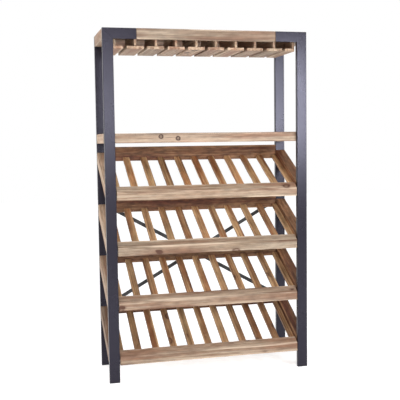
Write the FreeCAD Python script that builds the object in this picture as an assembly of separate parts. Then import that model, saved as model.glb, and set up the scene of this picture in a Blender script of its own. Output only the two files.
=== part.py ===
import FreeCAD, Part
import os
from math import atan2, cos, degrees, hypot, radians, tan

# Free-standing wine rack: two steel portals carry a stemware rack, a flat shelf
# and four sloping bottle trays.  Millimetres, +Z up, the front faces -Y.  The
# origin is on the floor, in the middle of the rack's footprint.

# ---- driving dimensions ----------------------------------------------------
WIDTH = 1200.0            # over the uprights
FRAME_DEPTH = 400.0       # front face of the front portal to back face of the rear one
HEIGHT = 2000.0

TUBE_FACE = 60.0          # broad side of the rectangular tube, seen from the front
TUBE_DEPTH = 25.0
TUBE_WALL = 2.0
ARM_REACH = 190.0         # from the outer edge of the portal to the arm's inner end
FOOT_PLATE = 4.0          # plastic glide under each upright
FOOT_PLUG = 20.0

BEAM_WIDTH = 60.0         # wooden side beams, as wide as the uprights
BEAM_HEIGHT = 60.0
BEAM_DROP = 34.0          # a tray beam's underside below the slat surface, square to it

TRAY_COUNT = 4
TRAY_SLOPE = radians(28.1)
TRAY_PITCH = 313.0
LOWEST_TRAY = 100.0       # underside of the lowest front rail
SLAT_PLANE = 40.0         # slat surface above a front rail's underside, at the front face
FRONT_RAIL_FACE = 50.0
FRONT_RAIL_BACK = 80.0    # height of its back face, which stops the bottles
FRONT_RAIL_DEPTH = 38.0
REAR_RAIL_RISE = 62.0     # rear rail above the slats' upper ends
REAR_RAIL_DROP = 24.0     # and below them
RAIL_GAP = 3.0            # between a front rail's end and the upright
BAYS = 10                 # bottle places across a tray, each between two slats
SLAT_WIDTH = 40.0
SLAT_PITCH = 106.0
SLAT_THICK = 16.0

SHELF_TOP = 1418.0
SHELF_EDGE = 55.0         # height of the boards along the shelf's front and back
SHELF_BOARD = 45.0        # thickness of the boards that frame the shelf
SHELF_PLANK = 15.0
SHELF_PLANKS = 3

TOP_PLANK = 18.0
TOP_PLANKS = 3
PLANK_GAP = 1.5

STEM_RAILS = 10
STEM_PITCH = 117.5
STEM_FLANGE = 97.0
STEM_FLANGE_THICK = 17.0
STEM_WEB = 14.0
STEM_FLANGE_BOTTOM = 1889.0
STEM_END_GAP = 5.0        # between a stem rail's end and the portal
STEM_STOP = 12.0          # board that closes the channels over the flanges at the back

BRACE_WIDTH = 22.0
BRACE_THICK = 3.0
BRACE_TOP = 998.0         # height of the upper brace bolts
BRACE_BOTTOM = 357.0
BRACE_BOLT = 6.0
BRACE_GRIP = 16.0         # length of a bolt's shank
BRACE_HEAD = 14.0
BRACE_HEAD_THICK = 4.0

SCREW = 5.0               # countersunk screws through the rear uprights
SCREW_HEAD = 10.0
SCREW_LENGTH = 65.0
DOWEL = 8.0               # pins in the front uprights' back walls and at the rail ends
DOWEL_GRIP = 40.0         # length inside the wood

# ---- places worked out from them ---------------------------------------------
BRACE_SPACE = 2 * BRACE_THICK + BRACE_HEAD_THICK   # behind the rear portal
SIDE = WIDTH / 2
INNER = SIDE - TUBE_FACE                  # inner faces of the uprights
FRONT = -(FRAME_DEPTH + BRACE_SPACE) / 2  # front face of the front portal
BACK = FRONT + FRAME_DEPTH                # back face of the rear portal
BAY_FRONT = FRONT + TUBE_DEPTH            # wood runs between these two planes
BAY_BACK = BACK - TUBE_DEPTH
BEAM_INNER = SIDE - BEAM_WIDTH
UPRIGHT_MID = SIDE - TUBE_FACE / 2
BEAM_MID = SIDE - BEAM_WIDTH / 2
CROWN = HEIGHT - TUBE_FACE                # underside of the arms
SHELF_UNDERSIDE = SHELF_TOP - SHELF_EDGE
RISE = tan(TRAY_SLOPE)

SIDES = {"left": -1, "right": 1}


# ---- helpers -------------------------------------------------------------------
def block(x, y, z):
    """Box between three pairs of coordinates."""
    corner = FreeCAD.Vector(min(x), min(y), min(z))
    size = [max(pair) - min(pair) for pair in (x, y, z)]
    return Part.makeBox(size[0], size[1], size[2], corner)


def prism(points, start, length):
    """Solid on a closed outline of points, from start along length."""
    corners = [FreeCAD.Vector(*point) + start for point in points]
    wire = Part.makePolygon(corners + corners[:1])
    return Part.Face(wire).extrude(length)


def front_prism(outline, y0, y1):
    """Outline of (x, z) points, as deep as y0 to y1."""
    points = [(x, 0, z) for x, z in outline]
    return prism(points, FreeCAD.Vector(0, y0, 0), FreeCAD.Vector(0, y1 - y0, 0))


def side_prism(outline, x0, x1):
    """Outline of (y, z) points, as wide as x0 to x1."""
    points = [(0, y, z) for y, z in outline]
    return prism(points, FreeCAD.Vector(x0, 0, 0), FreeCAD.Vector(x1 - x0, 0, 0))


def pin(diameter, start, end):
    """Round pin between two points."""
    begin = FreeCAD.Vector(*start)
    run = FreeCAD.Vector(*end) - begin
    return Part.makeCylinder(diameter / 2, run.Length, begin, run)


def mirrored(side, x0, x1):
    """A pair of x coordinates measured on the right, moved to the given side."""
    return (side * x0, side * x1)


def export(name, shape):
    shape.exportStep("parts/" + name + ".step")


def group(solids):
    return Part.makeCompound(solids)


# ---- fasteners -------------------------------------------------------------------
def tray_base(number):
    """Underside of a tray's front rail; tray 1 is the highest."""
    return LOWEST_TRAY + (TRAY_COUNT - number) * TRAY_PITCH


def slat_surface(number, y):
    """Height of a tray's slat surface at a depth y."""
    return tray_base(number) + SLAT_PLANE + (y - FRONT) * RISE


def beam_middle(number, y):
    """Height of the middle of a tray's side beam at a depth y."""
    return slat_surface(number, y) + (BEAM_HEIGHT / 2 - BEAM_DROP) / cos(TRAY_SLOPE)


def wood_heights(y):
    """Middle heights of every wooden member that meets an upright at a depth y."""
    trays = [beam_middle(number, y) for number in range(1, TRAY_COUNT + 1)]
    return trays + [SHELF_UNDERSIDE + SHELF_EDGE / 2, CROWN + BEAM_HEIGHT / 2]


def rear_screw(side, z):
    """Countersunk screw through a rear upright into the end of a beam."""
    x = side * BEAM_MID
    sink = (SCREW_HEAD - SCREW) / 2
    shank = pin(SCREW, (x, BACK - sink, z), (x, BACK - SCREW_LENGTH, z))
    start = FreeCAD.Vector(x, BACK, z)
    toward_front = FreeCAD.Vector(0, -1, 0)
    head = Part.makeCone(SCREW_HEAD / 2, SCREW / 2, sink, start, toward_front)
    return shank.fuse(head)


def beam_dowel(side, z):
    """Dowel between a front upright's back wall and the end of a beam."""
    x = side * BEAM_MID
    return pin(DOWEL, (x, BAY_FRONT - TUBE_WALL, z), (x, BAY_FRONT + DOWEL_GRIP, z))


def rail_dowel(side, y, z):
    """Dowel between an upright's inner wall and the end of a rail."""
    return pin(DOWEL, (side * (INNER + TUBE_WALL), y, z), (side * (INNER - DOWEL_GRIP), y, z))


def make_dowels():
    dowels = [beam_dowel(side, z) for side in SIDES.values() for z in wood_heights(BAY_FRONT)]
    for number in range(1, TRAY_COUNT + 1):
        front_z = tray_base(number) + FRONT_RAIL_FACE / 2
        rear_z = slat_surface(number, BAY_BACK) + (REAR_RAIL_RISE - REAR_RAIL_DROP) / 2
        for side in SIDES.values():
            dowels.append(rail_dowel(side, FRONT + TUBE_DEPTH / 2, front_z))
            dowels.append(rail_dowel(side, BACK - TUBE_DEPTH / 2, rear_z))
    return dowels


def brace_bolt(x, z, bar_back, depth):
    """Button-head bolt through the brace, its head behind the bar."""
    head = pin(BRACE_HEAD, (x, bar_back, z), (x, bar_back + BRACE_HEAD_THICK, z))
    head = head.makeChamfer(1.2, [edge_behind(head)])
    return head.fuse(pin(BRACE_BOLT, (x, bar_back, z), (x, bar_back - depth, z)))


def edge_behind(disc):
    """Rim of a disc on its +Y side."""
    return max(disc.Edges, key=lambda edge: edge.CenterOfMass.y)


SCREWS = [rear_screw(side, z) for side in SIDES.values() for z in wood_heights(BAY_BACK)]
DOWELS = make_dowels()
NEAR_BAR = BACK + BRACE_THICK             # back of the bar that lies on the uprights
FAR_BAR = NEAR_BAR + BRACE_THICK
BRACE_CENTRE = (BRACE_TOP + BRACE_BOTTOM) / 2
BRACE_BOLTS = [
    brace_bolt(-UPRIGHT_MID, BRACE_TOP, NEAR_BAR, BRACE_GRIP),
    brace_bolt(UPRIGHT_MID, BRACE_BOTTOM, NEAR_BAR, BRACE_GRIP),
    brace_bolt(UPRIGHT_MID, BRACE_TOP, FAR_BAR, BRACE_GRIP),
    brace_bolt(-UPRIGHT_MID, BRACE_BOTTOM, FAR_BAR, BRACE_GRIP),
    brace_bolt(0, BRACE_CENTRE, FAR_BAR, BRACE_GRIP),
]
FASTENERS = SCREWS + DOWELS + BRACE_BOLTS


def drilled(shape):
    """The shape with the holes of every fastener that reaches into it."""
    reach = shape.BoundBox
    tools = [fastener for fastener in FASTENERS if reach.intersect(fastener.BoundBox)]
    return shape.cut(tools) if tools else shape


# ---- steel portals ---------------------------------------------------------------
def upright(side, y0, y1):
    """Rectangular tube with a mitred top that meets the arm."""
    wall = TUBE_WALL
    outside = [(SIDE, FOOT_PLATE), (INNER, FOOT_PLATE), (INNER, CROWN), (SIDE, HEIGHT)]
    inside = [
        (SIDE - wall, FOOT_PLATE),
        (INNER + wall, FOOT_PLATE),
        (INNER + wall, CROWN + wall),
        (SIDE - wall, HEIGHT - wall),
    ]
    tube = front_prism([(side * x, z) for x, z in outside], y0, y1)
    return tube.cut(front_prism([(side * x, z) for x, z in inside], y0 + wall, y1 - wall))


def arm(side, y0, y1):
    """Short tube along the top, mitred to the upright and closed at its inner end."""
    wall = TUBE_WALL
    tip = SIDE - ARM_REACH
    outside = [(SIDE, HEIGHT), (INNER, CROWN), (tip, CROWN), (tip, HEIGHT)]
    inside = [
        (SIDE - wall, HEIGHT - wall),
        (INNER + wall, CROWN + wall),
        (tip + wall, CROWN + wall),
        (tip + wall, HEIGHT - wall),
    ]
    tube = front_prism([(side * x, z) for x, z in outside], y0, y1)
    return tube.cut(front_prism([(side * x, z) for x, z in inside], y0 + wall, y1 - wall))


def foot_glide(side, y0, y1):
    """Plastic plate under an upright, with a plug that fills the tube's end."""
    wall = TUBE_WALL
    plate = block(mirrored(side, INNER, SIDE), (y0, y1), (0, FOOT_PLATE))
    plug_x = mirrored(side, INNER + wall, SIDE - wall)
    plug = block(plug_x, (y0 + wall, y1 - wall), (FOOT_PLATE, FOOT_PLATE + FOOT_PLUG))
    return plate.fuse(plug).removeSplitter()


def make_portals():
    glides = []
    for place, (y0, y1) in {"front": (FRONT, BAY_FRONT), "rear": (BAY_BACK, BACK)}.items():
        for name, side in SIDES.items():
            export("upright_" + place + "_" + name, drilled(upright(side, y0, y1)))
            export("arm_" + place + "_" + name, arm(side, y0, y1))
            glides.append(foot_glide(side, y0, y1))
        insert_end = SIDE - ARM_REACH - PLANK_GAP
        insert = block((-insert_end, insert_end), (y0, y1), (CROWN, HEIGHT))
        export("top_insert_" + place, insert)
    export("foot_glides", group(glides))


# ---- top and stemware rack ---------------------------------------------------------
def planks(count, x, y, z):
    """Planks side by side that fill the depth y with small gaps between them."""
    pitch = (y[1] - y[0] + PLANK_GAP) / count
    starts = [y[0] + number * pitch for number in range(count)]
    return [block(x, (start, start + pitch - PLANK_GAP), z) for start in starts]


def make_top():
    for name, side in SIDES.items():
        rail_x = mirrored(side, BEAM_INNER, SIDE)
        rail = block(rail_x, (BAY_FRONT, BAY_BACK), (CROWN, HEIGHT))
        export("top_side_rail_" + name, drilled(rail))
    width = (-BEAM_INNER, BEAM_INNER)
    boards = planks(TOP_PLANKS, width, (BAY_FRONT, BAY_BACK), (HEIGHT - TOP_PLANK, HEIGHT))
    for number, board in enumerate(boards, 1):
        export("top_plank_%d" % number, board)


def make_stem_rack():
    """Rails like an inverted T that hold glasses by the foot; the end ones are an L.
    A board behind the webs stops the glasses."""
    flange_top = STEM_FLANGE_BOTTOM + STEM_FLANGE_THICK
    along = (BAY_FRONT + STEM_END_GAP, BAY_BACK - STEM_END_GAP)
    above = (flange_top, HEIGHT - TOP_PLANK)
    stop_y = (BAY_BACK - STEM_STOP, BAY_BACK)
    webs = [block((-BEAM_INNER, BEAM_INNER), stop_y, above)]
    for number in range(STEM_RAILS):
        middle = (number - (STEM_RAILS - 1) / 2) * STEM_PITCH
        web_x = (middle - STEM_WEB / 2, middle + STEM_WEB / 2)
        webs.append(block(web_x, (along[0], stop_y[0]), above))
        left = web_x[0] if number == 0 else middle - STEM_FLANGE / 2
        right = web_x[1] if number == STEM_RAILS - 1 else middle + STEM_FLANGE / 2
        flange = block((left, right), along, (STEM_FLANGE_BOTTOM, flange_top))
        export("stem_flange_%02d" % (number + 1), flange)
    export("stem_webs", group(webs))


# ---- flat shelf ---------------------------------------------------------------------
def make_shelf():
    """Planks on two end boards, between a front and a rear board of the full height."""
    full = (-SIDE, SIDE)
    edge = (SHELF_UNDERSIDE, SHELF_TOP)
    plank_bottom = SHELF_TOP - SHELF_PLANK
    between = (BAY_FRONT + SHELF_BOARD, BAY_BACK - SHELF_BOARD)
    export("shelf_front_board", drilled(block(full, (BAY_FRONT, between[0]), edge)))
    export("shelf_rear_board", drilled(block(full, (between[1], BAY_BACK), edge)))
    for name, side in SIDES.items():
        x = mirrored(side, SIDE - SHELF_BOARD, SIDE)
        export("shelf_end_board_" + name, block(x, between, (SHELF_UNDERSIDE, plank_bottom)))
    boards = planks(SHELF_PLANKS, full, between, (plank_bottom, SHELF_TOP))
    for number, board in enumerate(boards, 1):
        export("shelf_plank_%d" % number, board)


# ---- bottle trays ---------------------------------------------------------------------
def front_rail(number):
    """Rail between the front uprights; its top slopes up to the back."""
    z = tray_base(number)
    back = FRONT + FRONT_RAIL_DEPTH
    outline = [
        (FRONT, z),
        (back, z),
        (back, z + FRONT_RAIL_BACK),
        (FRONT, z + FRONT_RAIL_FACE),
    ]
    return side_prism(outline, RAIL_GAP - INNER, INNER - RAIL_GAP)


def rear_rail(number):
    """Rail between the rear uprights; the slats' upper ends butt against it."""
    z = slat_surface(number, BAY_BACK)
    return block((-INNER, INNER), (BAY_BACK, BACK), (z - REAR_RAIL_DROP, z + REAR_RAIL_RISE))


def sloping_bar(number, x, y, below, thickness):
    """Bar along the slope: below is its underside's distance under the slat surface."""
    low = -below / cos(TRAY_SLOPE)
    high = low + thickness / cos(TRAY_SLOPE)
    front_z = slat_surface(number, y[0])
    back_z = slat_surface(number, y[1])
    outline = [
        (y[0], front_z + low),
        (y[1], back_z + low),
        (y[1], back_z + high),
        (y[0], front_z + high),
    ]
    return side_prism(outline, x[0], x[1])


def slats(number):
    """One slat between every two bays, and a narrower one against each side beam."""
    bars = []
    start = FRONT + FRONT_RAIL_DEPTH
    for place in range(BAYS + 1):
        middle = (place - BAYS / 2) * SLAT_PITCH
        left = max(middle - SLAT_WIDTH / 2, -BEAM_INNER)
        right = min(middle + SLAT_WIDTH / 2, BEAM_INNER)
        bars.append(sloping_bar(number, (left, right), (start, BAY_BACK), SLAT_THICK, SLAT_THICK))
    return bars


def make_tray(number):
    name = "tray_%d_" % number
    export(name + "front_rail", drilled(front_rail(number)))
    export(name + "rear_rail", drilled(rear_rail(number)))
    for place, side in SIDES.items():
        x = mirrored(side, BEAM_INNER, SIDE)
        beam = sloping_bar(number, x, (BAY_FRONT, BAY_BACK), BEAM_DROP, BEAM_HEIGHT)
        export(name + "side_beam_" + place, drilled(beam))
    export(name + "slats", group(slats(number)))


# ---- cross-brace -------------------------------------------------------------------------
def brace_bar(start, end, y0):
    """Flat bar with round ends between two (x, z) points."""
    run = hypot(end[0] - start[0], end[1] - start[1])
    half = BRACE_WIDTH / 2
    bar = block((0, run), (0, BRACE_THICK), (-half, half))
    for x in (0, run):
        bar = bar.fuse(pin(BRACE_WIDTH, (x, 0, 0), (x, BRACE_THICK, 0)))
    turn = -degrees(atan2(end[1] - start[1], end[0] - start[0]))
    bar = bar.removeSplitter()
    bar.rotate(FreeCAD.Vector(0, 0, 0), FreeCAD.Vector(0, 1, 0), turn)
    bar.translate(FreeCAD.Vector(start[0], y0, start[1]))
    return bar


def brace_spacer(x, z):
    """Washer that fills the space between an upright and the outer bar."""
    ring = pin(BRACE_WIDTH, (x, BACK, z), (x, NEAR_BAR, z))
    return ring.cut(pin(BRACE_BOLT, (x, BACK, z), (x, NEAR_BAR, z)))


def make_brace():
    falling = brace_bar((-UPRIGHT_MID, BRACE_TOP), (UPRIGHT_MID, BRACE_BOTTOM), BACK)
    rising = brace_bar((-UPRIGHT_MID, BRACE_BOTTOM), (UPRIGHT_MID, BRACE_TOP), NEAR_BAR)
    export("brace_bar_falling", drilled(falling))
    export("brace_bar_rising", drilled(rising))
    spacers = [brace_spacer(UPRIGHT_MID, BRACE_TOP), brace_spacer(-UPRIGHT_MID, BRACE_BOTTOM)]
    export("brace_spacers", group(spacers))
    export("brace_bolts", group(BRACE_BOLTS))


def make_fasteners():
    export("beam_screws", group(SCREWS))
    export("dowels", group(DOWELS))


os.makedirs("parts", exist_ok=True)
make_portals()
make_top()
make_stem_rack()
make_shelf()
for tray in range(1, TRAY_COUNT + 1):
    make_tray(tray)
make_brace()
make_fasteners()
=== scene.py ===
import math

import bmesh
import bpy
from mathutils import Matrix, Vector, noise


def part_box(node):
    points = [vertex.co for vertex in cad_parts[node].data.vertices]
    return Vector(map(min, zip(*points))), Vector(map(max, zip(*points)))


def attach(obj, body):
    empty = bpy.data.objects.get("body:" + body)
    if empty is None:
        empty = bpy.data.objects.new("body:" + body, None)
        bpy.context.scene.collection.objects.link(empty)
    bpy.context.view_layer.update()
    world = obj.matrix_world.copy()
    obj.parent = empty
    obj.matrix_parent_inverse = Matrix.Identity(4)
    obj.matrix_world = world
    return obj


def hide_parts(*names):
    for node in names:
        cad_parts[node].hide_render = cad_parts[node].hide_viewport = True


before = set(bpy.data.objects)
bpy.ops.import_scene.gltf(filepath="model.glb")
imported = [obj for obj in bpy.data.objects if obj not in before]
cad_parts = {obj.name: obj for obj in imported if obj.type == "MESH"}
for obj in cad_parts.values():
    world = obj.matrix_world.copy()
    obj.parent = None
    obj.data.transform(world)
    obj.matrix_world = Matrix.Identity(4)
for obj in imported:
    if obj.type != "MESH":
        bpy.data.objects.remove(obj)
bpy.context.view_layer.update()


# ---- Studio ------------------------------------------------------------------
# A white studio: pale floor, white backdrop, softboxes in front, above and on the
# left, a lamp by the camera and a strip light on the right.  None of it is the rack.
def linear(code):
    """sRGB hex colour as linear RGBA."""
    parts = [int(code[place : place + 2], 16) / 255 for place in (1, 3, 5)]
    return [c / 12.92 if c <= 0.04045 else ((c + 0.055) / 1.055) ** 2.4 for c in parts] + [1]


def add(tree, kind, inputs=None, stops=(), **settings):
    """A node with its settings, its values and links, and a ramp's stops."""
    node = tree.nodes.new(kind)
    for key, value in settings.items():
        setattr(node, key, value)
    for key, value in (inputs or {}).items():
        if isinstance(value, bpy.types.NodeSocket):
            tree.links.new(value, node.inputs[key])
        else:
            node.inputs[key].default_value = value
    for place, grey in stops:
        stop = node.color_ramp.elements.new(place)
        stop.color = (grey, grey, grey, 1)
    return node


def new_material(name):
    """An empty node material and its node tree."""
    material = bpy.data.materials.new(name)
    material.use_nodes = True
    material.node_tree.nodes.clear()
    return material, material.node_tree


def new_object(name, points, faces):
    """A mesh object at the origin."""
    mesh = bpy.data.meshes.new(name)
    mesh.from_pydata([tuple(point) for point in points], [], faces)
    mesh.validate()
    piece = bpy.data.objects.new(name, mesh)
    bpy.context.scene.collection.objects.link(piece)
    return piece


EYE = (-1.125, -4.440, 1.362)
TURN_RIGHT = 14.144       # the camera's angles, in degrees
TILT_DOWN = 4.329
ROLL = 0.773
view = bpy.data.cameras.new("view")
view.lens = 68.47
view.sensor_width = 36.0
view.clip_end = 60.0
camera = bpy.data.objects.new("view", view)
camera.matrix_world = (
    Matrix.Translation(EYE)
    @ Matrix.Rotation(math.radians(-TURN_RIGHT), 4, "Z")
    @ Matrix.Rotation(math.radians(90 - TILT_DOWN), 4, "X")
    @ Matrix.Rotation(math.radians(-ROLL), 4, "Z")
)
bpy.context.scene.collection.objects.link(camera)
bpy.context.scene.camera = camera
bpy.context.scene.view_settings.view_transform = "Standard"

studio_paint, tree = new_material("matt_white_studio_floor")
speckle = add(tree, "ShaderNodeTexNoise", {"Scale": 3.0, "Detail": 4.0})
shade = add(tree, "ShaderNodeMix", {"Factor": speckle.outputs["Fac"], "A": linear("#F7F7F8"),
                                    "B": linear("#FBFBFB")}, data_type="RGBA")
paint = add(tree, "ShaderNodeBsdfPrincipled", {
    "Base Color": shade.outputs[2], "Roughness": 0.9, "Emission Color": linear("#FFFFFF"),
    "Emission Strength": 0.45})
add(tree, "ShaderNodeOutputMaterial", {"Surface": paint.outputs["BSDF"]})

reach = 14.0
floor = new_object(
    "studio_floor",
    [(-reach, -reach, 0), (reach, -reach, 0), (reach, reach, 0), (-reach, reach, 0)],
    [(0, 1, 2, 3)],
)
floor.data.materials.append(studio_paint)

# The room is bright behind the rack and dim behind the camera; seen directly it
# is plain white.
world = bpy.data.worlds.new("studio_room")
world.use_nodes = True
tree = world.node_tree
tree.nodes.clear()
ways = add(tree, "ShaderNodeTexCoord").outputs["Generated"]
way = add(tree, "ShaderNodeVectorMath", {0: ways, 1: (-0.5, 0.86, 0.0)}, operation="DOT_PRODUCT")
glow = add(tree, "ShaderNodeMapRange", {"Value": way.outputs["Value"], "From Min": -0.7, "From Max": 0.6,
                                        "To Min": 0.25, "To Max": 1.0}).outputs[0]
lit = add(tree, "ShaderNodeBackground", {"Color": linear("#FFFFFF"), "Strength": glow})
plain = add(tree, "ShaderNodeBackground", {"Color": linear("#FFFFFF"), "Strength": 1.0})
direct = add(tree, "ShaderNodeLightPath").outputs["Is Camera Ray"]
room = add(tree, "ShaderNodeMixShader", {0: direct, 1: lit.outputs[0], 2: plain.outputs[0]})
add(tree, "ShaderNodeOutputWorld", {"Surface": room.outputs[0]})
bpy.context.scene.world = world

# each lamp's place, the point it faces, its width and height, and its power in watts
SOFTBOXES = {
    "right_strip": ((1.63, -3.3, 1.71), (0.1, 0.0, 1.3), (0.50, 1.00), 58.0),
    "front_softbox": ((-0.25, -3.9, 1.78), (-0.1, 0.0, 1.2), (0.85, 1.05), 30.0),
    "camera_lamp": ((-0.95, -4.3, 1.42), (0.0, 0.0, 1.5), (0.4, 0.4), 25.0),
    "left_softbox": ((-3.2, -1.3, 1.7), (-0.4, 0.0, 1.2), (1.5, 1.5), 34.0),
    "top_softbox": ((-0.5, -2.0, 3.3), (0.0, -0.1, 0.9), (1.2, 0.8), 34.0),
}
for name, (place, target, size, power) in SOFTBOXES.items():
    lamp = bpy.data.lights.new(name, "AREA")
    lamp.shape = "RECTANGLE"
    lamp.size, lamp.size_y = size
    lamp.energy = power
    box = bpy.data.objects.new(name, lamp)
    turn = (Vector(target) - Vector(place)).to_track_quat("-Z", "Y")
    box.matrix_world = Matrix.Translation(place) @ turn.to_matrix().to_4x4()
    box.visible_camera = False
    bpy.context.scene.collection.objects.link(box)


# ---- Steel portals -----------------------------------------------------------
# Two portals of 60 x 25 mm rectangular steel tube with rounded corners.  Each
# upright is mitred to a short arm, welded, ground and powder coated with it.
CORNER = 0.0028           # outside radius of the tube's corners
SEAM = 0.0006             # chamfer on both sides of a mitre, filled by the weld


def rounded_ring(half_a, half_b, radius, count=5):
    """Points round a rectangle with rounded corners, as (a, b) pairs."""
    ring = []
    for quarter in range(4):
        corner = ((1, 1), (-1, 1), (-1, -1), (1, -1))[quarter]
        for step in range(count):
            angle = math.radians(90 * (quarter + step / (count - 1)))
            a = corner[0] * (half_a - radius) + radius * math.cos(angle)
            b = corner[1] * (half_b - radius) + radius * math.sin(angle)
            ring.append((a, b))
    return ring


def loft(name, rings, capped=True):
    """Skin over rings of equal length, with both ends capped unless told otherwise."""
    size = len(rings[0])
    points = [point for ring in rings for point in ring]
    faces = []
    for level in range(len(rings) - 1):
        for place in range(size):
            nearby = (place + 1) % size
            low, high = level * size, (level + 1) * size
            faces.append((low + place, low + nearby, high + nearby, high + place))
    if capped:
        faces.append(tuple(reversed(range(size))))
        faces.append(tuple(range(len(points) - size, len(points))))
    piece = new_object(name, points, faces)
    tidy(piece.data)
    return piece


def tidy(mesh, smooth_angle=40):
    """Outward faces, smooth over rounded edges and sharp elsewhere."""
    shape = bmesh.new()
    shape.from_mesh(mesh)
    bmesh.ops.recalc_face_normals(shape, faces=shape.faces)
    shape.to_mesh(mesh)
    shape.free()
    mesh.shade_smooth()
    mesh.set_sharp_from_angle(angle=math.radians(smooth_angle))


def finish_piece(piece, material, slot, *nodes):
    """Give the piece its material and body, and hide the nodes it stands for. The slot is not used."""
    piece.data.materials.clear()
    piece.data.materials.append(material)
    flats = piece.modifiers.new("flat_faces_stay_flat", "WEIGHTED_NORMAL")
    flats.keep_sharp = True
    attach(piece, "root")
    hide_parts(*nodes)


# Powder-coated steel: thermoset polyester over mild steel, graphite with a hint
# of violet, satin.  The cured film has a fine orange peel, drawn at 2 mm.
graphite, tree = new_material("graphite_powder_coated_steel")
place = add(tree, "ShaderNodeTexCoord").outputs["Object"]
cloud = add(tree, "ShaderNodeTexNoise", {"Vector": place, "Scale": 5.0, "Detail": 5.0})
peel = add(tree, "ShaderNodeTexNoise", {"Vector": place, "Scale": 500.0, "Detail": 2.0})
tint = add(tree, "ShaderNodeMix", {"Factor": cloud.outputs["Fac"], "A": linear("#151117"),
                                   "B": linear("#1B171E")}, data_type="RGBA")
gloss = add(tree, "ShaderNodeMapRange", {"Value": cloud.outputs["Fac"], "To Min": 0.24, "To Max": 0.32})
bump = add(tree, "ShaderNodeBump", {"Height": peel.outputs["Fac"], "Strength": 0.12, "Distance": 0.0004})
coat = add(tree, "ShaderNodeBsdfPrincipled", {
    "Base Color": tint.outputs[2], "Roughness": gloss.outputs["Result"], "IOR": 1.5,
    "Specular IOR Level": 0.38, "Specular Tint": linear("#E4E4FF"), "Normal": bump.outputs["Normal"]})
add(tree, "ShaderNodeOutputMaterial", {"Surface": coat.outputs["BSDF"]})

for depth in ("front", "rear"):
    for hand, side in (("left", -1), ("right", 1)):
        low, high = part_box(f"upright_{depth}_{hand}")
        middle = (low + high) / 2
        half_x = (high.x - low.x) / 2
        half_y = (high.y - low.y) / 2
        outer = middle.x + side * half_x
        ring = rounded_ring(half_x, half_y, CORNER)
        small = rounded_ring(half_x - SEAM, half_y - SEAM, CORNER)
        rings = [[(middle.x + a, middle.y + b, level) for a, b in ring]
                 for level in (low.z, 0.5, 1.0, 1.5)]
        for outline, drop in ((ring, SEAM), (small, 0.0)):
            rings.append([(middle.x + a, middle.y + b, high.z - drop - abs(outer - middle.x - a))
                          for a, b in outline])
        post = loft(f"post_{depth}_{hand}", rings)
        finish_piece(post, graphite, "graphite_steel", f"upright_{depth}_{hand}")

        low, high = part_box(f"arm_{depth}_{hand}")
        middle = (low + high) / 2
        half_z = (high.z - low.z) / 2
        tip = low.x if side > 0 else high.x
        ring = rounded_ring(half_y, half_z, CORNER)
        small = rounded_ring(half_y - SEAM, half_z - SEAM, CORNER)
        rings = [[(tip, middle.y + a, middle.z + b) for a, b in ring]]
        for outline, drop in ((ring, SEAM), (small, 0.0)):
            rings.append([(outer - side * (drop + high.z - middle.z - b), middle.y + a, middle.z + b)
                          for a, b in outline])
        header = loft(f"header_{depth}_{hand}", rings)

        # the ground weld that fills the groove between the two mitres
        spine = [Vector((outer - side * (high.z - middle.z - b), middle.y + a, middle.z + b))
                 for a, b in small]
        centre = Vector((outer - side * half_z, middle.y, middle.z))
        along = Vector((side, 0, 1)).normalized()
        tube = []
        for number, point in enumerate(spine):
            inward = (centre - point).normalized()
            swell = SEAM * (0.8 + 0.12 * math.sin(number * 2.1))
            tube.append([point + swell * (math.cos(t) * inward + math.sin(t) * along)
                         for t in (math.radians(45 * turn) for turn in range(8))])
        tube.append(tube[0])
        weld = loft(f"weld_{depth}_{hand}", tube, capped=False)
        finish_piece(header, graphite, "graphite_steel", f"arm_{depth}_{hand}")
        finish_piece(weld, graphite, "graphite_steel")


# ---- Foot glides -------------------------------------------------------------
# Injection-moulded polyethylene end plugs, one under each upright: a 4 mm plate
# with softened edges that carries the rack on the floor.

# heights above the floor, and how far the plate's edge stands in there
GLIDE_EDGE = ((0.0, 0.0012), (0.0008, 0.0003), (0.0018, 0.0), (0.0040, 0.0))

# Polyethylene: black, semi-matt, with a fine moulded pebble and a little dust.
plastic, tree = new_material("black_moulded_polyethylene")
place = add(tree, "ShaderNodeTexCoord").outputs["Object"]
pebble = add(tree, "ShaderNodeTexVoronoi", {"Vector": place, "Scale": 900.0})
dust = add(tree, "ShaderNodeTexNoise", {"Vector": place, "Scale": 60.0, "Detail": 3.0})
tint = add(tree, "ShaderNodeMix", {"Factor": dust.outputs["Fac"], "A": linear("#151416"),
                                   "B": linear("#262528")}, data_type="RGBA")
bump = add(tree, "ShaderNodeBump", {"Height": pebble.outputs["Distance"], "Strength": 0.3,
                                    "Distance": 0.0003})
skin = add(tree, "ShaderNodeBsdfPrincipled", {"Base Color": tint.outputs[2], "Roughness": 0.6,
                                              "Normal": bump.outputs["Normal"]})
add(tree, "ShaderNodeOutputMaterial", {"Surface": skin.outputs["BSDF"]})

for depth in ("front", "rear"):
    for hand in ("left", "right"):
        low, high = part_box(f"upright_{depth}_{hand}")
        middle = (low + high) / 2
        rings = []
        for level, inset in GLIDE_EDGE:
            outline = rounded_ring((high.x - low.x) / 2 - inset, (high.y - low.y) / 2 - inset, CORNER)
            rings.append([(middle.x + a, middle.y + b, level) for a, b in outline])
        glide = loft(f"glide_{depth}_{hand}", rings)
        finish_piece(glide, plastic, "black_plastic", "foot_glides")


# ---- Boards of the top -------------------------------------------------------
# Recycled softwood, sawn, wire brushed and waxed.  Boards 25 mm thick close the
# portals between the arms, two rails tie the portals, and three planks close the top.
EDGE = 0.0016             # usual wear on an edge
CHIP = 0.009              # scale of the chips in such an edge
HOLLOW = 0.00035          # usual depth that brushing takes from a face
CELL = 0.013              # spacing of the points across a face
STATION = 0.022           # spacing of the cross-sections along a board


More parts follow.
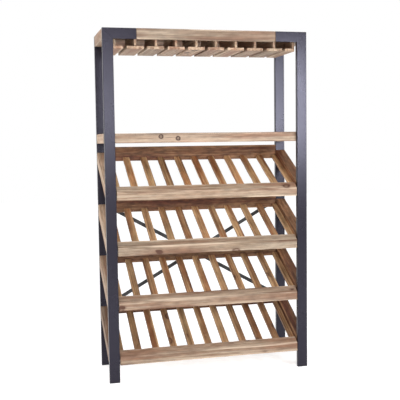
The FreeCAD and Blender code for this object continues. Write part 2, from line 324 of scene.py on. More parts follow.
def worn_ring(corners, inset, seed, travel, wear):
    """One cross-section of a board: rounded, uneven corners and nearly flat faces."""
    count = len(corners)
    ring, rub = [], []
    for number in range(count):
        here = corners[number]
        before = (corners[number - 1] - here).normalized()
        after = (corners[(number + 1) % count] - here).normalized()
        here = here + (before + after) * inset
        spot = Vector((travel * 14, seed * 3.7, number * 5.1))
        chip = max(0.0, noise.noise(spot * 0.9 + Vector((0, 0, 40))) - 0.25)
        radius = wear * (1 + 0.5 * noise.noise(spot)) + CHIP * wear / EDGE * chip
        for share in (0, 1 / 3, 2 / 3, 1):
            first, last = (1 - share) ** 2, share**2
            ring.append(here + before * radius * first + after * radius * last)
            rub.append(1.0)
        length = (corners[(number + 1) % count] - corners[number]).length
        steps = max(1, round(length / CELL))
        inward = (before - after * before.dot(after)).normalized()
        target = corners[(number + 1) % count]
        for step in range(1, steps):
            point = here.lerp(target + (before.project(inward)).normalized() * inset, step / steps)
            hollow = noise.noise(Vector((travel * 9, seed * 2.3 + step * 0.31, number * 7.7)))
            ring.append(point + inward * HOLLOW * (1 + hollow))
            rub.append(0.0)
    return ring, rub


def timber(name, start, end, seed, wear=EDGE, tone=1.0):
    """A board between two matching end outlines, with its grain running along it.
    The seed picks its wear and figure, and tone lightens or darkens the whole board."""
    start = [Vector(point) for point in start]
    end = [Vector(point) for point in end]
    run = (end[0] - start[0]).length
    stations = [(0.0, wear), (wear * 0.35, wear * 0.3), (wear * 1.1, 0.0)]
    count = max(3, round(run / STATION))
    stations += [(run * step / count, 0.0) for step in range(1, count)]
    stations += [(run - place, inset) for place, inset in reversed(stations[:3])]
    across = (start[1] - start[0]).normalized()
    direction = (end[0] - start[0]).normalized()
    through = direction.cross(across).normalized()
    rings, grain, rubbed = [], [], []
    for travel, inset in stations:
        share = travel / run
        corners = [a.lerp(b, share) for a, b in zip(start, end)]
        centre = sum(corners, Vector()) / len(corners)
        ring, rub = worn_ring(corners, inset, seed, travel, wear)
        rings.append(ring)
        rubbed += rub
        grain += [(travel, (p - centre).dot(across), (p - centre).dot(through)) for p in ring]
    piece = loft(name, rings)
    mesh = piece.data
    mesh.attributes.new("grain", "FLOAT_VECTOR", "POINT").data.foreach_set(
        "vector", [part for triple in grain for part in triple])
    mesh.attributes.new("worn", "FLOAT", "POINT").data.foreach_set("value", rubbed)
    mesh.attributes.new("board", "FLOAT", "POINT").data.foreach_set(
        "value", [seed * 0.618 % 1.0] * len(grain))
    mesh.attributes.new("tone", "FLOAT", "POINT").data.foreach_set("value", [tone] * len(grain))
    return piece


def along_x(name, low, high, seed, wear=EDGE, tone=1.0):
    """A straight board along X between two corners."""
    ends = [[(x, low.y, low.z), (x, high.y, low.z), (x, high.y, high.z), (x, low.y, high.z)]
            for x in (low.x, high.x)]
    return timber(name, ends[0], ends[1], seed, wear, tone)


def along_y(name, low, high, seed, wear=EDGE, tone=1.0):
    """A straight board along Y between two corners."""
    ends = [[(low.x, y, low.z), (high.x, y, low.z), (high.x, y, high.z), (low.x, y, high.z)]
            for y in (low.y, high.y)]
    return timber(name, ends[0], ends[1], seed, wear, tone)


def knots(tree, place, mottle, bare_cells, ring_knots):
    """A pattern that is 0 in the middle of a knot and grows outwards.  Knots lie at
    random in a share of the cells, and at the given centres, with uneven outlines."""
    spread = add(tree, "ShaderNodeVectorMath", {0: place, 1: (6.0, 9, 9)}, operation="MULTIPLY")
    uneven = add(tree, "ShaderNodeVectorMath", {0: mottle["Color"], "Scale": 0.16}, operation="SCALE")
    ragged = add(tree, "ShaderNodeVectorMath", {0: spread.outputs[0], 1: uneven.outputs[0]},
                 operation="ADD").outputs[0]
    cells = add(tree, "ShaderNodeTexVoronoi", {"Vector": ragged, "Scale": 1.0}).outputs
    empty = add(tree, "ShaderNodeMath", {0: cells["Color"], 1: bare_cells}, operation="LESS_THAN").outputs[0]
    knot = add(tree, "ShaderNodeMath", {0: cells["Distance"], 1: empty}, operation="ADD").outputs[0]
    if ring_knots:
        spot = add(tree, "ShaderNodeTexCoord").outputs["Object"]
        uneven = add(tree, "ShaderNodeVectorMath", {0: mottle["Color"], "Scale": 0.008},
                     operation="SCALE").outputs[0]
        spot = add(tree, "ShaderNodeVectorMath", {0: spot, 1: uneven}, operation="ADD").outputs[0]
        for centre in ring_knots:
            apart = add(tree, "ShaderNodeVectorMath", {0: spot, 1: centre}, operation="DISTANCE")
            near = add(tree, "ShaderNodeMath", {0: apart.outputs["Value"], 1: 12.0}, operation="MULTIPLY")
            knot = add(tree, "ShaderNodeMath", {0: knot, 1: near.outputs[0]}, operation="MINIMUM").outputs[0]
    return knot


def growth_rings(tree, grain, board, bend, knot):
    """Latewood of rings 5 mm wide round a pith beside the board, pushed aside by knots."""
    pith_y = add(tree, "ShaderNodeMapRange", {"Value": board, "To Min": -0.05, "To Max": 0.06}).outputs[0]
    pith = add(tree, "ShaderNodeCombineXYZ", {"Y": pith_y, "Z": 0.055}).outputs[0]
    flat = add(tree, "ShaderNodeVectorMath", {0: grain, 1: (0, 1, 1)}, operation="MULTIPLY").outputs[0]
    radius = add(tree, "ShaderNodeVectorMath", {0: flat, 1: pith}, operation="DISTANCE").outputs["Value"]
    bulge = add(tree, "ShaderNodeMapRange", {"Value": knot, "From Min": 0.05, "From Max": 0.34,
                                             "To Min": 0.012, "To Max": 0.0}).outputs[0]
    wander = add(tree, "ShaderNodeMath", {0: bend, 1: 0.05, 2: bulge}, operation="MULTIPLY_ADD").outputs[0]
    depth = add(tree, "ShaderNodeMath", {0: radius, 1: wander}, operation="ADD").outputs[0]
    phase = add(tree, "ShaderNodeMath", {0: depth, 1: 200.0}, operation="MULTIPLY").outputs[0]
    wave = add(tree, "ShaderNodeMath", {0: phase}, operation="FRACT").outputs[0]
    return add(tree, "ShaderNodeValToRGB", {"Fac": wave}, stops=((0.55, 0.25), (0.85, 1.0))).outputs["Color"]


def wood(name, pale, mid, dark, red, bare_cells=0.52, ring_knots=(), cloudy=0.8):
    """Brushed, waxed softwood.  Streaks 9 mm wide, growth rings 5 mm, fibres 1 mm,
    knots 10 to 20 mm, fine cracks; colours run from pale to dark, with a reddish tint.
    Bare_cells is the share without a knot, cloudy the darkness of the mottling."""
    material, tree = new_material(name)
    grain = add(tree, "ShaderNodeAttribute", attribute_name="grain").outputs["Vector"]
    board = add(tree, "ShaderNodeAttribute", attribute_name="board").outputs["Fac"]
    own_tone = add(tree, "ShaderNodeAttribute", attribute_name="tone").outputs["Fac"]
    worn = add(tree, "ShaderNodeAttribute", attribute_name="worn").outputs["Fac"]
    shift = add(tree, "ShaderNodeVectorMath", {0: (17.3, 3.1, 5.7), "Scale": board}, operation="SCALE")
    place = add(tree, "ShaderNodeVectorMath", {0: grain, 1: shift.outputs[0]}, operation="ADD").outputs[0]

    # noises drawn out along the grain: features a metre each way, detail, roughness
    noises = {}
    for key, factors, detail, roughness in (
            ("streak", (2.6, 110, 110), 4.0, 0.6), ("stripe", (1.3, 42, 42), 5.0, 0.65),
            ("fibre", (14, 950, 950), 2.0, 0.5), ("blotch", (2.5, 14, 14), 3.0, 0.5),
            ("crack", (3.4, 300, 300), 1.0, 0.5), ("bend", (1.6, 9, 9), 2.0, 0.5),
            ("mottle", (16, 60, 60), 4.0, 0.6)):
        drawn = add(tree, "ShaderNodeVectorMath", {0: place, 1: factors}, operation="MULTIPLY").outputs[0]
        noises[key] = add(tree, "ShaderNodeTexNoise", {"Vector": drawn, "Scale": 1.0, "Detail": detail,
                                                       "Roughness": roughness}).outputs
    streak, stripe, fibre, blotch, crack, bend, mottle = (sockets["Fac"] for sockets in noises.values())
    knot = knots(tree, place, noises["mottle"], bare_cells, ring_knots)
    late = growth_rings(tree, grain, board, bend, knot)

    # pale and brown streaks, dark rings, reddish blotches, and the board's own tone
    base = add(tree, "ShaderNodeMapRange", {"Value": streak, "From Min": 0.38, "From Max": 0.6}).outputs[0]
    tone = add(tree, "ShaderNodeMix", {"Factor": base, "A": linear(mid), "B": linear(pale)},
               data_type="RGBA").outputs[2]
    lines = add(tree, "ShaderNodeMapRange", {"Value": stripe, "From Min": 0.42, "From Max": 0.62,
                                             "To Min": 0.05, "To Max": 0.55}).outputs[0]
    ring_share = add(tree, "ShaderNodeMath", {0: late, 1: lines}, operation="MULTIPLY").outputs[0]
    tone = add(tree, "ShaderNodeMix", {"Factor": ring_share, "A": tone, "B": linear(dark)},
               data_type="RGBA").outputs[2]
    warm = add(tree, "ShaderNodeMath", {0: blotch, 1: stripe}, operation="ADD").outputs[0]
    warm = add(tree, "ShaderNodeMapRange", {"Value": warm, "From Min": 0.94, "From Max": 1.2,
                                            "To Max": 0.85}).outputs[0]
    tone = add(tree, "ShaderNodeMix", {"Factor": warm, "A": tone, "B": linear(red)},
               data_type="RGBA").outputs[2]
    hairs = add(tree, "ShaderNodeMapRange", {"Value": fibre, "From Min": 0.3, "From Max": 0.7,
                                             "To Min": 0.82, "To Max": 1.12}).outputs[0]
    clouds = add(tree, "ShaderNodeMapRange", {"Value": mottle, "From Min": 0.36, "From Max": 0.62,
                                              "To Min": cloudy, "To Max": 1.9 - cloudy}).outputs[0]
    level = add(tree, "ShaderNodeMath", {0: hairs, 1: clouds}, operation="MULTIPLY").outputs[0]
    level = add(tree, "ShaderNodeMath", {0: level, 1: own_tone}, operation="MULTIPLY").outputs[0]
    tone = add(tree, "ShaderNodeVectorMath", {0: tone, "Scale": level}, operation="SCALE").outputs[0]

    cast = add(tree, "ShaderNodeMath", {0: board, 1: 7.31}, operation="MULTIPLY").outputs[0]
    cast = add(tree, "ShaderNodeMath", {0: cast}, operation="FRACT").outputs[0]
    cast = add(tree, "ShaderNodeMix", {"Factor": cast, "A": linear("#FFF9F4"), "B": linear("#F6F8F4")},
               data_type="RGBA").outputs[2]
    tone = add(tree, "ShaderNodeVectorMath", {0: tone, 1: cast}, operation="MULTIPLY").outputs[0]

    # dark knots and cracks, and edges that are grimy here and rubbed pale there
    rim = add(tree, "ShaderNodeValToRGB", {"Fac": knot},
              stops=((0.02, 0.9), (0.05, 0.4), (0.08, 0.5), (0.1, 1.0), (0.15, 1.0), (0.17, 0.35),
                     (0.22, 0.0)))
    rim.color_ramp.elements.remove(rim.color_ramp.elements[-1])
    split = add(tree, "ShaderNodeMapRange", {"Value": crack, "From Min": 0.66, "From Max": 0.72,
                                             "To Max": 0.7}).outputs[0]
    mark = add(tree, "ShaderNodeMath", {0: rim.outputs["Color"], 1: split}, operation="MAXIMUM").outputs[0]
    tone = add(tree, "ShaderNodeMix", {"Factor": mark, "A": tone, "B": linear(dark)},
               data_type="RGBA").outputs[2]
    grime = add(tree, "ShaderNodeMapRange", {"Value": stripe, "From Min": 0.5, "From Max": 0.62,
                                             "To Max": 0.75}).outputs[0]
    grime = add(tree, "ShaderNodeMath", {0: worn, 1: grime}, operation="MULTIPLY").outputs[0]
    tone = add(tree, "ShaderNodeMix", {"Factor": grime, "A": tone, "B": linear(dark)},
               data_type="RGBA").outputs[2]
    bare = add(tree, "ShaderNodeMapRange", {"Value": stripe, "From Min": 0.5, "From Max": 0.4,
                                            "To Max": 0.6}).outputs[0]
    bare = add(tree, "ShaderNodeMath", {0: worn, 1: bare}, operation="MULTIPLY").outputs[0]
    tone = add(tree, "ShaderNodeMix", {"Factor": bare, "A": tone, "B": linear(pale)},
               data_type="RGBA").outputs[2]

    relief = add(tree, "ShaderNodeMath", {0: fibre, 1: 0.5, 2: streak}, operation="MULTIPLY_ADD").outputs[0]
    relief = add(tree, "ShaderNodeMath", {0: relief, 1: mark}, operation="SUBTRACT").outputs[0]
    bump = add(tree, "ShaderNodeBump", {"Height": relief, "Strength": 0.5, "Distance": 0.0008})
    wax = add(tree, "ShaderNodeMapRange", {"Value": streak, "To Min": 0.72, "To Max": 0.52}).outputs[0]
    surface = add(tree, "ShaderNodeBsdfPrincipled", {
        "Base Color": tone, "Roughness": wax, "IOR": 1.47, "Specular IOR Level": 0.35,
        "Normal": bump.outputs["Normal"]})
    add(tree, "ShaderNodeOutputMaterial", {"Surface": surface.outputs["BSDF"]})
    return material


# The front header and the end rails are silvered by age, a greyish brown.  The rear header and the ceiling
# are pale and reddish, lighter than any other board: painted light for the dim hollow under the top.
header_wood = wood("brushed_silvered_softwood", "#B9A592", "#96806D", "#4A3125", "#94705C")
ceiling_wood_with_painted_light = wood("reddish_sawn_softwood", "#F0DFD2", "#E4CBBA", "#8C6C5E", "#D2AC9A")
# The rear header's raised tone of 1.15 is more painted light for the hollow under the top.
for seed, depth, finish, tone in ((11, "front", header_wood, 0.67), (12, "rear", ceiling_wood_with_painted_light, 1.15)):
    low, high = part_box(f"top_insert_{depth}")
    insert = along_x(f"header_board_{depth}", low, high, seed, tone=tone)
    finish_piece(insert, finish, "rustic_wood", f"top_insert_{depth}")
for number, hand in enumerate(("left", "right")):
    low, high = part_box(f"top_side_rail_{hand}")
    rail = along_y(f"end_rail_{hand}", low, high, seed=14 + number, tone=1.08)
    finish_piece(rail, header_wood, "rustic_wood", f"top_side_rail_{hand}")

# The ceiling planks take the lightened wood too: painted light in the hollow under the top.
for number in range(1, 4):
    low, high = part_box(f"top_plank_{number}")
    plank = along_x(f"ceiling_plank_{number}", low, high, seed=17 + number)
    finish_piece(plank, ceiling_wood_with_painted_light, "rustic_wood", f"top_plank_{number}")


# ---- Stemware rack -----------------------------------------------------------
# Ten rails like an upside-down T, screwed up into the planks: a thin flange on
# which a glass's foot rests, under a narrow web.  The outer two are cut to an L,
# and a stop board closes the channels at the back.
STEM_EDGE = 0.0012        # wear on the edges, which are fresher than the other boards'
STEM_TONES = (0.85, 1.1)  # the darkest and lightest of the rails
WEB_HALF = 0.007
STOP_THICK = 0.012
PLAY = 0.0008             # how far a repeated board may be from its place
ROUGHNESS = 0.0007        # how far its surface may be worn down


def board_row():
    """Geometry Nodes: the object's own board repeated along X, each board with its
    own number for the grain and a slightly uneven surface."""
    tree = bpy.data.node_groups.new("board_row", "GeometryNodeTree")
    face = tree.interface
    face.new_socket("Board", in_out="INPUT", socket_type="NodeSocketGeometry")
    for name, kind in {"Count": "Int", "Pitch": "Float", "First": "Float", "Darkest": "Float",
                       "Lightest": "Float", "Seed": "Int", "Finish": "Material"}.items():
        face.new_socket(name, in_out="INPUT", socket_type=f"NodeSocket{kind}")
    face.new_socket("Row", in_out="OUTPUT", socket_type="NodeSocketGeometry")
    given = add(tree, "NodeGroupInput").outputs
    first = add(tree, "ShaderNodeCombineXYZ", {"X": given["First"]}).outputs[0]
    pitch = add(tree, "ShaderNodeCombineXYZ", {"X": given["Pitch"]}).outputs[0]
    line = add(tree, "GeometryNodeMeshLine", {"Count": given["Count"], "Start Location": first,
                                              "Offset": pitch}, mode="OFFSET").outputs[0]
    play = add(tree, "FunctionNodeRandomValue", {0: (-PLAY, 0, 0), 1: (PLAY, 0, 0),
                                                 "Seed": given["Seed"]}, data_type="FLOAT_VECTOR")
    line = add(tree, "GeometryNodeSetPosition", {"Geometry": line, "Offset": play.outputs[0]}).outputs[0]
    rows = add(tree, "GeometryNodeInstanceOnPoints", {"Points": line, "Instance": given["Board"]}).outputs[0]
    own = add(tree, "FunctionNodeRandomValue", {"Seed": given["Seed"]}, data_type="FLOAT").outputs[1]
    rows = add(tree, "GeometryNodeStoreNamedAttribute", {"Geometry": rows, "Name": "board", "Value": own},
               data_type="FLOAT", domain="INSTANCE").outputs[0]
    later = add(tree, "ShaderNodeMath", {0: given["Seed"], 1: 50.0}, operation="ADD").outputs[0]
    own = add(tree, "FunctionNodeRandomValue", {2: given["Darkest"], 3: given["Lightest"], "Seed": later},
              data_type="FLOAT").outputs[1]
    rows = add(tree, "GeometryNodeStoreNamedAttribute", {"Geometry": rows, "Name": "tone", "Value": own},
               data_type="FLOAT", domain="INSTANCE").outputs[0]
    rows = add(tree, "GeometryNodeRealizeInstances", {"Geometry": rows}).outputs[0]
    rough = add(tree, "ShaderNodeTexNoise", {"Scale": 30.0, "Detail": 1.0}).outputs["Fac"]
    inward = add(tree, "ShaderNodeMath", {0: rough, 1: -ROUGHNESS}, operation="MULTIPLY").outputs[0]
    normal = add(tree, "GeometryNodeInputNormal").outputs[0]
    worn = add(tree, "ShaderNodeVectorMath", {0: normal, "Scale": inward}, operation="SCALE").outputs[0]
    rows = add(tree, "GeometryNodeSetPosition", {"Geometry": rows, "Offset": worn}).outputs[0]
    rows = add(tree, "GeometryNodeSetMaterial", {"Geometry": rows, "Material": given["Finish"]}).outputs[0]
    add(tree, "NodeGroupOutput", {"Row": rows})
    return tree


def run_nodes(piece, tree, values):
    """Run a Geometry Nodes tree on a piece and keep the result as its plain mesh."""
    nodes = piece.modifiers.new("nodes", "NODES")
    nodes.node_group = tree
    for item in tree.interface.items_tree:
        if item.in_out == "INPUT" and item.name in values:
            nodes[item.identifier] = values[item.name]
    graph = bpy.context.evaluated_depsgraph_get()
    shape = bpy.data.meshes.new_from_object(piece.evaluated_get(graph), preserve_all_data_layers=True,
                                            depsgraph=graph)
    piece.modifiers.clear()
    piece.data = shape
    shape.name = piece.name


def row_of(piece, finish, count, pitch, tones, seed):
    """Repeat a board in a centred row; each copy gets its own board number and tone."""
    for name in ("board", "tone"):
        piece.data.attributes.remove(piece.data.attributes[name])
    run_nodes(piece, row, {"Count": count, "Pitch": pitch, "First": -(count - 1) / 2 * pitch,
                           "Darkest": tones[0], "Lightest": tones[1], "Seed": seed, "Finish": finish})


row = board_row()

# The rails are greyer than the boards that they hang from.
rack_wood = wood("brushed_grey_softwood", "#B8A28D", "#9A8069", "#4E3527", "#906A55")
low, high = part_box("stem_flange_05")
stem_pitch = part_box("stem_flange_06")[0].x - low.x
flange_half = (high.x - low.x) / 2
flange = along_y("stem_flanges", Vector((-flange_half, low.y, low.z)), Vector((flange_half, high.y, high.z)),
                 seed=23, wear=STEM_EDGE)
row_of(flange, rack_wood, 8, stem_pitch, STEM_TONES, seed=4)
finish_piece(flange, rack_wood, "rustic_wood", *[f"stem_flange_{n:02d}" for n in range(2, 10)])
for number, hand in ((1, "left"), (10, "right")):
    low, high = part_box(f"stem_flange_{number:02d}")
    edge = along_y(f"stem_flange_{hand}", low, high, seed=30 + number, wear=STEM_EDGE)
    finish_piece(edge, rack_wood, "rustic_wood", f"stem_flange_{number:02d}")

low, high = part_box("stem_webs")
stop_face = high.y - STOP_THICK
web = along_y("stem_rail_webs", Vector((-WEB_HALF, low.y, low.z)), Vector((WEB_HALF, stop_face, high.z)),
              seed=25, wear=STEM_EDGE)
row_of(web, rack_wood, 10, stem_pitch, STEM_TONES, seed=9)
finish_piece(web, rack_wood, "rustic_wood", "stem_webs")
# The stop board takes the same lightened wood and a raised tone: painted light at the back of the hollow
# under the top.
stop_board = along_x("stem_stop_board", Vector((low.x, stop_face, low.z)), high, seed=27, tone=1.15)
finish_piece(stop_board, ceiling_wood_with_painted_light, "rustic_wood", "stem_webs")


# ---- Flat shelf --------------------------------------------------------------
# A 55 mm front board and a rear one of the same size, two end boards between
# them, and three planks let in flush.  The front board has two round knots.
SHELF_EDGE = 0.002        # wear on the edges of its front and rear boards
RING_KNOTS = ((-0.270, -0.176, 1.402), (-0.171, -0.176, 1.391))   # their middles

# Pale softwood with fine grey-brown streaks; the front board has the same with knots.
pale_wood = wood("brushed_pale_softwood", "#CDB7A2", "#B2967E", "#4E3225", "#9F745C")
shelf_wood = wood("brushed_pale_softwood_with_ring_knots", "#D2BCA7", "#B89B84", "#35201A", "#A77A62",
                  ring_knots=RING_KNOTS)
low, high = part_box("shelf_front_board")
front_board = along_x("shelf_edge_front", low, high, seed=41, wear=SHELF_EDGE, tone=0.63)
finish_piece(front_board, shelf_wood, "rustic_wood", "shelf_front_board")
low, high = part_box("shelf_rear_board")
rear_board = along_x("shelf_edge_rear", low, high, seed=42, wear=SHELF_EDGE)
finish_piece(rear_board, pale_wood, "rustic_wood", "shelf_rear_board")
for number, hand in enumerate(("left", "right")):
    low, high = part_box(f"shelf_end_board_{hand}")
    end_board = along_y(f"shelf_end_{hand}", low, high, seed=43 + number)
    finish_piece(end_board, pale_wood, "rustic_wood", f"shelf_end_board_{hand}")
for number in range(1, 4):
    low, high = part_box(f"shelf_plank_{number}")
    plank = along_x(f"shelf_deck_{number}", low, high, seed=46 + number)
    finish_piece(plank, pale_wood, "rustic_wood", f"shelf_plank_{number}")


# ---- Tray rails and beams ----------------------------------------------------
# Each bottle tray hangs between the portals: 60 x 60 mm side beams at a slope,
# a front rail with a sloping top, and a rear rail that the slats end against.
SLOPE = math.radians(28.1)
BEAM = 0.060
STOP_FACE = 0.050         # a front rail's height at its front
STOP_EDGE = 0.0022        # wear on the edges of the front rails
RAIL_EDGE = 0.002         # and on those of the rear rails and the beams

# how light the boards are, from the highest tray to the lowest; the lower trays are darkened as painted
# shade, for the light that falls off down the rack
STOP_TONES = (0.69, 0.60, 0.60, 0.64)
BACK_TONES = (0.66, 0.58, 0.58, 0.58)
BEAM_TONES = (0.92, 0.92, 0.74, 0.54)


def sloping(name, low, high, thick, seed, wear, tone=1.0):
    """A board that rises along Y between two corners, this thick square to its slope."""
    tall = thick / math.cos(SLOPE)
    ends = [[(low.x, y, z), (high.x, y, z), (high.x, y, z + tall), (low.x, y, z + tall)]
            for y, z in ((low.y, low.z), (high.y, high.z - tall))]
    return timber(name, ends[0], ends[1], seed, wear, tone)


# A darker, browner copy of the wood, with more knots, for the rear rails and the right-hand beams: painted
# shade for the rear rails under the shelf and trays above, and for the right beams' inner faces that turn
# from the lamps.
shaded_brown_wood = wood("aged_brown_softwood", "#A27A58", "#80573B", "#34201A", "#6E3B28",
                  bare_cells=0.3, cloudy=0.6)
for tray in range(1, 5):
    low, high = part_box(f"tray_{tray}_front_rail")
    shoulder = low.z + STOP_FACE
    ends = [[(x, low.y, low.z), (x, high.y, low.z), (x, high.y, high.z), (x, low.y, shoulder)]
            for x in (low.x, high.x)]
    stop = timber(f"bottle_stop_{tray}", ends[0], ends[1], 50 + tray, STOP_EDGE, STOP_TONES[tray - 1])
    finish_piece(stop, pale_wood, "rustic_wood", f"tray_{tray}_front_rail")

    low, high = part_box(f"tray_{tray}_rear_rail")
    back = along_x(f"back_rail_{tray}", low, high, 60 + tray, RAIL_EDGE, BACK_TONES[tray - 1])
    finish_piece(back, shaded_brown_wood, "rustic_wood", f"tray_{tray}_rear_rail")

    # The left beams take the pale wood and the right beams the brown one: a lit and a shaded copy, and the
    # difference is painted shade.
    for number, hand, finish in ((0, "left", pale_wood), (1, "right", shaded_brown_wood)):
        low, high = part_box(f"tray_{tray}_side_beam_{hand}")
        beam = sloping(f"tray_beam_{tray}_{hand}", low, high, BEAM, 70 + 2 * tray + number, RAIL_EDGE,
                       BEAM_TONES[tray - 1])
        finish_piece(beam, finish, "rustic_wood", f"tray_{tray}_side_beam_{hand}")


# ---- Slats -------------------------------------------------------------------
# Eleven 16 mm slats a tray, one under every gap between two bottles, nailed to the
# rails; the outer two are sawn narrower.  No two come from the same old board.
SLAT_HALF = 0.020
SLAT_PITCH = 0.106
SLAT_THICK = 0.016
SLAT_EDGE = 0.0018        # wear on the slats' edges
SLAT_TONES = (0.90, 0.85, 0.72, 0.62)   # from the highest tray to the lowest, darker lower down as painted shade
DARKEST, LIGHTEST = 0.74, 1.2   # how far a slat may be from its tray's tone

# Waxed softwood of many ages, yellowish to reddish brown.
slat_wood = wood("waxed_mixed_softwood", "#CFAA80", "#A87E58", "#553725", "#A4663F")
for tray in range(1, 5):
    low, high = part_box(f"tray_{tray}_slats")
    # an outer slat starts where a whole one would and ends at the tray's side
    edge_half = (high.x - 5 * SLAT_PITCH + SLAT_HALF) / 2
    tones = (DARKEST * SLAT_TONES[tray - 1], LIGHTEST * SLAT_TONES[tray - 1])
    for name, count, half, pitch in (("slats", 9, SLAT_HALF, SLAT_PITCH),
                                     ("edge_slats", 2, edge_half, 2 * (high.x - edge_half))):
        slat = sloping(f"{name}_{tray}", Vector((-half, low.y, low.z)), Vector((half, high.y, high.z)),
                       SLAT_THICK, 80 + tray, SLAT_EDGE)
        row_of(slat, slat_wood, count, pitch, tones, seed=tray * 7 + count)
        finish_piece(slat, slat_wood, "rustic_wood", f"tray_{tray}_slats")


# ---- Cross-brace -------------------------------------------------------------
# Two 22 x 3 mm flat steel bars, round at the ends and painted black, bolted
# crosswise to the backs of the rear uprights and to each other where they meet.
BAR_HALF = 0.011
BAR_EDGE = 0.0006         # chamfer round a bar

# Black paint on hot-rolled bar: satin, a little uneven from the scale beneath.
black, tree = new_material("black_painted_flat_steel")
place = add(tree, "ShaderNodeTexCoord").outputs["Object"]
scale = add(tree, "ShaderNodeTexNoise", {"Vector": place, "Scale": 90.0, "Detail": 5.0})
tint = add(tree, "ShaderNodeMix", {"Factor": scale.outputs["Fac"], "A": linear("#1C1D1F"),
                                   "B": linear("#2C2E30")}, data_type="RGBA")
gloss = add(tree, "ShaderNodeMapRange", {"Value": scale.outputs["Fac"], "To Min": 0.38, "To Max": 0.6})
bump = add(tree, "ShaderNodeBump", {"Height": scale.outputs["Fac"], "Strength": 0.2, "Distance": 0.0004})
coat = add(tree, "ShaderNodeBsdfPrincipled", {
    "Base Color": tint.outputs[2], "Roughness": gloss.outputs["Result"], "Normal": bump.outputs["Normal"]})
add(tree, "ShaderNodeOutputMaterial", {"Surface": coat.outputs["BSDF"]})

for direction, fall in (("falling", -1), ("rising", 1)):
    low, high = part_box(f"brace_bar_{direction}")
    half_run = (high.x - low.x) / 2 - BAR_HALF
    half_rise = (high.z - low.z) / 2 - BAR_HALF
    middle = (low + high) / 2
    along = Vector((half_run, 0, fall * half_rise))
    unit = along.normalized()
    up = Vector((-unit.z, 0, unit.x))
    outline = []
    for end in (1, -1):
        for step in range(13):
            turn = math.radians(-90 + 15 * step)
            outline.append((end * along.length, end * math.cos(turn), end * math.sin(turn)))
    rings = []
    for y, inset in ((low.y, BAR_EDGE), (low.y + BAR_EDGE, 0.0), (high.y - BAR_EDGE, 0.0),
                     (high.y, BAR_EDGE)):
        rings.append([middle + Vector((0, y - middle.y, 0)) + unit * (far + (BAR_HALF - inset) * out)
                      + up * (BAR_HALF - inset) * rise for far, out, rise in outline])
    bar = loft(f"brace_{direction}", rings)
    finish_piece(bar, black, "black_steel", f"brace_bar_{direction}")


# ---- Bolts, spacers and screws -----------------------------------------------
# Zinc-plated button-head bolts with a hexagon socket hold the brace, two short
# spacers fill behind the outer bar, and countersunk screws hold the beams.
BOLT_RADIUS = 0.007       # of a bolt's head
HEXAGON = 0.0023          # half of its socket, across the flats
SCREW_RADIUS = 0.005      # of a screw's head
CROSS = 0.0026            # an arm of its recess, from the middle
CROSS_NOTCH = 0.0011      # from the middle to the recess's wall between two arms
SPACER_RADIUS = 0.011
SPACER_EDGE = 0.0005      # how far a spacer's rounded edges stand in
TURNS = [2 * math.pi * step / 24 for step in range(24)]   # round a head


def hexagon(turn):
    """From the middle of a hexagon socket to its wall."""
    return HEXAGON / math.cos((turn % (math.pi / 3)) - math.pi / 6)


def cross(turn):
    """From the middle of a cross recess to its wall."""
    return CROSS if abs(math.sin(2 * turn)) < 0.5 else CROSS_NOTCH


def spin(name, profile, recess, depth):
    """A round head about the Y axis from (radius, y) pairs, with a recess in its middle."""
    top = profile[-1][1]
    rings = [[(radius * math.cos(turn), y, radius * math.sin(turn)) for turn in TURNS]
             for radius, y in profile]
    rings += [[(recess(turn) * math.cos(turn), y, recess(turn) * math.sin(turn)) for turn in TURNS]
              for y in (top, top - depth)]
    return loft(name, rings)


def heads_on_points():
    """Geometry Nodes: a head on every vertex of the object."""
    tree = bpy.data.node_groups.new("heads_on_points", "GeometryNodeTree")
    face = tree.interface
    for name, kind in {"Places": "Geometry", "Head": "Object", "Seed": "Int",
                       "Finish": "Material"}.items():
        face.new_socket(name, in_out="INPUT", socket_type=f"NodeSocket{kind}")
    face.new_socket("Heads", in_out="OUTPUT", socket_type="NodeSocketGeometry")
    given = add(tree, "NodeGroupInput").outputs
    head = add(tree, "GeometryNodeObjectInfo", {"Object": given["Head"]}).outputs["Geometry"]
    turn = add(tree, "FunctionNodeRandomValue", {0: (0, 0, 0), 1: (0, math.tau, 0), "Seed": given["Seed"]},
               data_type="FLOAT_VECTOR").outputs[0]
    heads = add(tree, "GeometryNodeInstanceOnPoints", {"Points": given["Places"], "Instance": head,
                                                       "Rotation": turn}).outputs[0]
    heads = add(tree, "GeometryNodeRealizeInstances", {"Geometry": heads}).outputs[0]
    heads = add(tree, "GeometryNodeSetMaterial", {"Geometry": heads, "Material": given["Finish"]}).outputs[0]
    add(tree, "NodeGroupOutput", {"Heads": heads})
    return tree


# Bright zinc plating on steel: bluish silver, a little cloudy.
zinc, tree = new_material("zinc_plated_steel")
place = add(tree, "ShaderNodeTexCoord").outputs["Object"]
cloud = add(tree, "ShaderNodeTexNoise", {"Vector": place, "Scale": 300.0, "Detail": 4.0})
tint = add(tree, "ShaderNodeMix", {"Factor": cloud.outputs["Fac"], "A": linear("#8E9297"),
                                   "B": linear("#B9BDC1")}, data_type="RGBA")
gloss = add(tree, "ShaderNodeMapRange", {"Value": cloud.outputs["Fac"], "To Min": 0.28, "To Max": 0.45})
plate = add(tree, "ShaderNodeBsdfPrincipled", {"Base Color": tint.outputs[2], "Metallic": 1.0,
                                               "Roughness": gloss.outputs["Result"]})
add(tree, "ShaderNodeOutputMaterial", {"Surface": plate.outputs["BSDF"]})

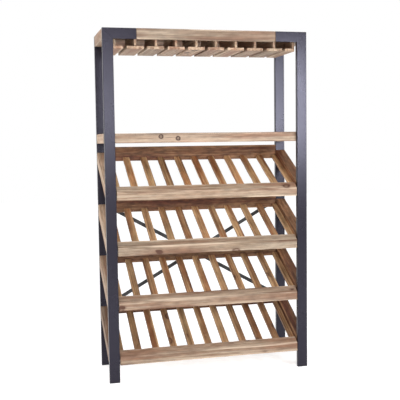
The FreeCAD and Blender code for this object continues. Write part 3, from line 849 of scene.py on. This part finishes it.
heads = heads_on_points()
bolts_low, bolts_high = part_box("brace_bolts")
near_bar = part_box("brace_bar_falling")[1].y
far_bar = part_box("brace_bar_rising")[1].y
bolt_x = bolts_high.x - BOLT_RADIUS
top_z, bottom_z = bolts_high.z - BOLT_RADIUS, bolts_low.z + BOLT_RADIUS
button = spin("button_head", ((0.0030, -0.012), (0.0030, 0.0), (BOLT_RADIUS, 0.0), (0.0069, 0.0012),
                              (0.0060, 0.0028), (0.0048, 0.0036), (0.0030, 0.0040)), hexagon, 0.0024)
places = [(-bolt_x, near_bar, top_z), (bolt_x, near_bar, bottom_z), (bolt_x, far_bar, top_z),
          (-bolt_x, far_bar, bottom_z), (0, far_bar, (top_z + bottom_z) / 2)]
bolts = new_object("brace_button_heads", places, [])
run_nodes(bolts, heads, {"Head": button, "Seed": 3, "Finish": zinc})
finish_piece(bolts, zinc, "zinc_steel", "brace_bolts")

screw = spin("countersunk_head", ((0.0026, -0.010), (0.0026, -0.0026), (0.0049, -0.0002), (0.0046, 0.0),
                                  (0.0030, 0.0)), cross, 0.0018)
back_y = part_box("beam_screws")[1].y
screw_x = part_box("beam_screws")[1].x - SCREW_RADIUS
places = []
for side in (-1, 1):
    for tray in range(1, 5):
        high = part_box(f"tray_{tray}_side_beam_left")[1]
        places.append((side * screw_x, back_y, high.z - BEAM / math.cos(SLOPE) / 2))
    for node in ("shelf_rear_board", "top_side_rail_left"):
        low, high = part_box(node)
        places.append((side * screw_x, back_y, (low.z + high.z) / 2))
screws = new_object("beam_screw_heads", places, [])
run_nodes(screws, heads, {"Head": screw, "Seed": 5, "Finish": zinc})
finish_piece(screws, zinc, "zinc_steel", "beam_screws")
for helper in (button, screw):
    bpy.data.objects.remove(helper)

low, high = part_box("brace_spacers")
for name, x, z in (("upper", high.x - SPACER_RADIUS, high.z - SPACER_RADIUS),
                   ("lower", low.x + SPACER_RADIUS, low.z + SPACER_RADIUS)):
    rings = []
    for y, inset in ((low.y, SPACER_EDGE), (low.y + 0.0004, 0.0), (high.y - 0.0004, 0.0),
                     (high.y, SPACER_EDGE)):
        radius = SPACER_RADIUS - inset
        rings.append([(x + radius * math.cos(turn), y, z + radius * math.sin(turn))
                      for turn in (2 * math.pi * step / 32 for step in range(32))])
    spacer = loft(f"brace_spacer_{name}", rings)
    finish_piece(spacer, zinc, "zinc_steel", "brace_spacers")


# ---- Dowels ------------------------------------------------------------------
# Plain pins of drawn mild steel between the uprights and the ends of the beams and
# rails, hidden in the wood and the tubes: grey, fairly smooth, a little cloudy.
dowel_steel, tree = new_material("plain_drawn_steel")
place = add(tree, "ShaderNodeTexCoord").outputs["Object"]
drawn = add(tree, "ShaderNodeTexNoise", {"Vector": place, "Scale": 400.0, "Detail": 3.0})
tint = add(tree, "ShaderNodeMix", {"Factor": drawn.outputs["Fac"], "A": linear("#7A7B7D"),
                                   "B": linear("#9A9B9D")}, data_type="RGBA")
steel = add(tree, "ShaderNodeBsdfPrincipled", {"Base Color": tint.outputs[2], "Metallic": 1.0,
                                               "Roughness": 0.4})
add(tree, "ShaderNodeOutputMaterial", {"Surface": steel.outputs["BSDF"]})
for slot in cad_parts["dowels"].material_slots:
    slot.material = dowel_steel
